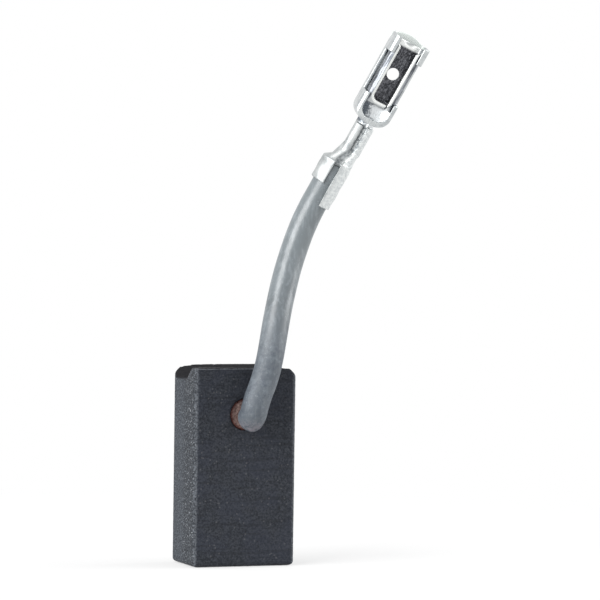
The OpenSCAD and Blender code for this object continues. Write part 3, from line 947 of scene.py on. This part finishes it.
def make_sleeve(path):
    """The silicone sleeve: one smooth tube with cut ends, a little uneven along its length."""
    sides = 56
    outer_waves, waves_along, waves_round = 0.012, 0.55, 0.8
    lip_depth, lip_rings = 0.03, 3
    across, down = frames_along(path)
    section = circle(sides)
    count = len(path)
    points = []
    for radius, uneven, widening in ((SLEEVE_R, outer_waves, -1), (SLEEVE_BORE_R, 0.0, 1)):
        for k in range(count):
            from_end = min(k, count - 1 - k)
            lip = lip_depth * max(0.0, 1 - from_end / lip_rings) ** 2
            for cos, sin in section:
                out = cos * across[k] + sin * down[k]
                wave = noise.noise(Vector(path[k] * waves_along + out * waves_round))
                points.append(path[k] + (radius + uneven * wave + widening * lip) * out)
    inner = count * sides
    end = (count - 1) * sides
    faces = ring_faces(count, sides) + ring_faces(count, sides, inner, flip=True)
    for k in range(sides):
        after = (k + 1) % sides
        faces.append((k, inner + k, inner + after, after))
        faces.append((end + after, inner + end + after, inner + end + k, end + k))
    piece = mesh_piece("insulating_sleeve_tube", points, faces)
    finish_piece(piece, silicone_material(), "insulating_sleeve")


def crimp_filling():
    """The folded sheet that lies under the strand crimp's seam and under the flare's opening."""
    sides = 40
    rings = len(CRIMP_FILLING)
    points = []
    for middle, radius in CRIMP_FILLING:
        for cos, sin in circle(sides):
            points.append(Vector(middle) + radius * Vector((cos, sin, 0)))
    return new_mesh("filling", points, ring_faces(rings, sides) + end_faces(rings, sides))


def slot_distance(point):
    """Distance of a point outwards from the slot's rounded outline."""
    across = max(0.0, abs(point.x) - SLOT_HALF_W + SLOT_CORNER_R)
    upwards = max(0.0, abs(point.z - SLOT_MIDDLE) + SLOT_MIDDLE - SLOT_TOP + SLOT_CORNER_R)
    return math.hypot(across, upwards) - SLOT_CORNER_R


def make_contact():
    """The stamped contact: its cut edges softened, a rolled rim round the slot, a burr round the
    lock hole, and dents where the tool closed the crimps."""
    wing_dents, crimp_dents, dents_fade = 0.055, 0.015, 0.4
    dent_scale, dent_seed = 1.5, Vector((2, 0, 9))
    burr_reach, wall_slope = 0.1, 0.7
    rim_depth, front_slope = 0.12, -0.3
    place = receptacle_place()
    piece = finer_copy("terminal_contact", "terminal_contact_stamped", voxel=0.042, rounding=4,
                       place=place, added=crimp_filling())

    def on_burr(point, normal):
        from_hole = math.hypot(point.x, point.z - LOCK_HOLE_Z)
        return (point.y > BOX_FLOOR - burr_reach and from_hole < LOCK_HOLE_R + burr_reach
                and abs(normal.y) < wall_slope)

    def depth_at(point, normal):
        if point.z > CRIMP_TOP:
            if on_burr(point, normal):
                return HOLE_BURR
            from_slot = slot_distance(point)
            off_front = point.y > BOX_FRONT + rim_depth or normal.y > front_slope
            if off_front or from_slot > RIM_W:
                return 0.0
            return RIM_H * (1 - (2 * from_slot / RIM_W - 1) ** 2)
        on_crimp = min(1.0, (CRIMP_TOP - point.z) / dents_fade)
        dents = noise.noise(point * dent_scale + dent_seed)
        pressed = wing_dents if point.z < WINGS_TOP else crimp_dents
        return pressed * on_crimp * dents

    push_along_normals(piece, depth_at)
    finish_piece(piece, tin_material(), "terminal_contact", place)


def make_cage():
    """The spring cage, with softened cut edges and a faint unevenness."""
    waves, wave_scale = 0.004, 1.2
    back_y = 0.5
    place = receptacle_place()
    piece = finer_copy("terminal_spring", "terminal_spring_bent", voxel=0.036, rounding=8,
                       place=place)
    push_along_normals(piece, lambda point, _: waves * noise.noise(point * wave_scale))

    # The back leans out a little at the mouth, as a lead-in for the tab
    points = points_of(piece.data)
    above = np.clip(points[:, 2] - LIP_FROM, 0, None) * (points[:, 1] > back_y)
    points[:, 1] += LIP_LEAN * above ** 2
    set_points(piece.data, points)
    finish_piece(piece, spring_material(), "terminal_spring", place)


# --- camera, floor and light ---------------------------------------------------------------------


def make_camera():
    """The photograph's viewpoint: a long lens, a little above the block and to its left."""
    data = bpy.data.cameras.new("camera")
    data.lens = CAMERA_LENS
    data.sensor_width = 36
    data.clip_start = 0.01
    data.clip_end = 20
    camera = into_scene("camera", data)
    heading = math.radians(CAMERA_HEADING)
    aim = math.radians(CAMERA_HEADING + CAMERA_YAW)
    pitch = math.radians(CAMERA_PITCH)
    camera.location = Vector((-math.sin(heading) * CAMERA_DISTANCE,
                              -math.cos(heading) * CAMERA_DISTANCE, CAMERA_HEIGHT)) * MM
    forward = Vector((math.sin(aim) * math.cos(pitch), math.cos(aim) * math.cos(pitch),
                      -math.sin(pitch)))
    right = forward.cross(Vector((0, 0, 1))).normalized()
    up = right.cross(forward)
    roll = math.radians(CAMERA_ROLL)
    right_rolled = right * math.cos(roll) + up * math.sin(roll)
    up_rolled = up * math.cos(roll) - right * math.sin(roll)
    camera.rotation_mode = "QUATERNION"
    turned = Matrix((right_rolled, up_rolled, -forward)).transposed()
    camera.rotation_quaternion = turned.to_quaternion()
    bpy.context.scene.camera = camera


def make_floor():
    """A plain white floor that keeps the object's shadow and fades into the white behind it."""
    sides = 96
    rim = [(FLOOR_R * cos, FLOOR_R * sin, -FLOOR_DROP) for cos, sin in circle(sides)]
    floor = mesh_piece("floor", rim, [tuple(range(sides))])
    material, n, shader = new_material("floor")
    shader.inputs["Base Color"].default_value = FLOOR_GREY
    shader.inputs["Roughness"].default_value = 0.9
    shader.inputs["Specular IOR Level"].default_value = 0.0
    glow = n.add("ShaderNodeEmission")
    glow.inputs["Strength"].default_value = 1.0
    fade_from, fade_to = (share * FLOOR_R / MM for share in FLOOR_FADE)
    white = n.ramp(n.length(n.place()), fade_from, fade_to, FLOOR_GLOW, 1.0)
    both = n.add("ShaderNodeMixShader")
    n.link(n.times(n.background_share(), white), both.inputs[0])
    n.link(shader.outputs[0], both.inputs[1])
    n.link(glow.outputs[0], both.inputs[2])
    n.link(both.outputs[0], material.node_tree.nodes["Material Output"].inputs["Surface"])
    floor.data.materials.append(material)


def make_world():
    """A white room for the camera, reflections and glass. What it sheds on the object is soft
    light from all round, dim from the camera's side."""
    world = bpy.data.worlds.new("studio")
    world.use_nodes = True
    bpy.context.scene.world = world
    n = Nodes(world.node_tree)
    shade = world.node_tree.nodes["Background"]
    direction = n.add("ShaderNodeTexCoord").outputs["Generated"]
    heading = math.radians(CAMERA_HEADING)
    camera_side = (-math.sin(heading), -math.cos(heading), 0)
    towards = n.vectors("DOT_PRODUCT", direction, camera_side)["Value"]
    soft = n.bands(n.math("MULTIPLY_ADD", towards, 0.5, 0.5), WORLD_BANDS)
    n.link(n.mix(n.background_share(), soft, WHITE), shade.inputs["Color"])
    shade.inputs["Strength"].default_value = 1.0


def make_lamp(name, heading, elevation, distance, width, height, power):
    """A soft lamp that faces the object, in degrees, metres and watts. Heading 0 is from -Y and
    90 from -X."""
    data = bpy.data.lights.new(name, "AREA")
    data.shape = "RECTANGLE"
    data.size = width
    data.size_y = height
    data.energy = power
    lamp = into_scene(name, data)
    turn, lift = math.radians(heading), math.radians(elevation)
    middle = (cad_low + cad_high) / 2
    away = Vector((-math.sin(turn) * math.cos(lift), -math.cos(turn) * math.cos(lift),
                   math.sin(lift)))
    lamp.location = middle + away * distance
    lamp.rotation_mode = "QUATERNION"
    lamp.rotation_quaternion = away.to_track_quat("Z", "Y")


make_camera()
make_floor()
make_world()
make_lamp("key", heading=65, elevation=26, distance=0.5, width=0.36, height=0.50, power=2.9)
make_lamp("fill", heading=-82, elevation=28, distance=0.6, width=0.45, height=0.50, power=2.2)
bpy.context.scene.view_settings.view_transform = "Standard"

lead_path = smooth_path(LEAD_ROUTE, PATH_STEPS)
sleeve_path = lead_path[SLEEVE_FROM * PATH_STEPS:SLEEVE_TO * PATH_STEPS + 1]
make_block()
make_tamping()
make_flex(lead_path)
make_sleeve(sleeve_path)
make_contact()
make_cage()

bpy.context.view_layer.update()
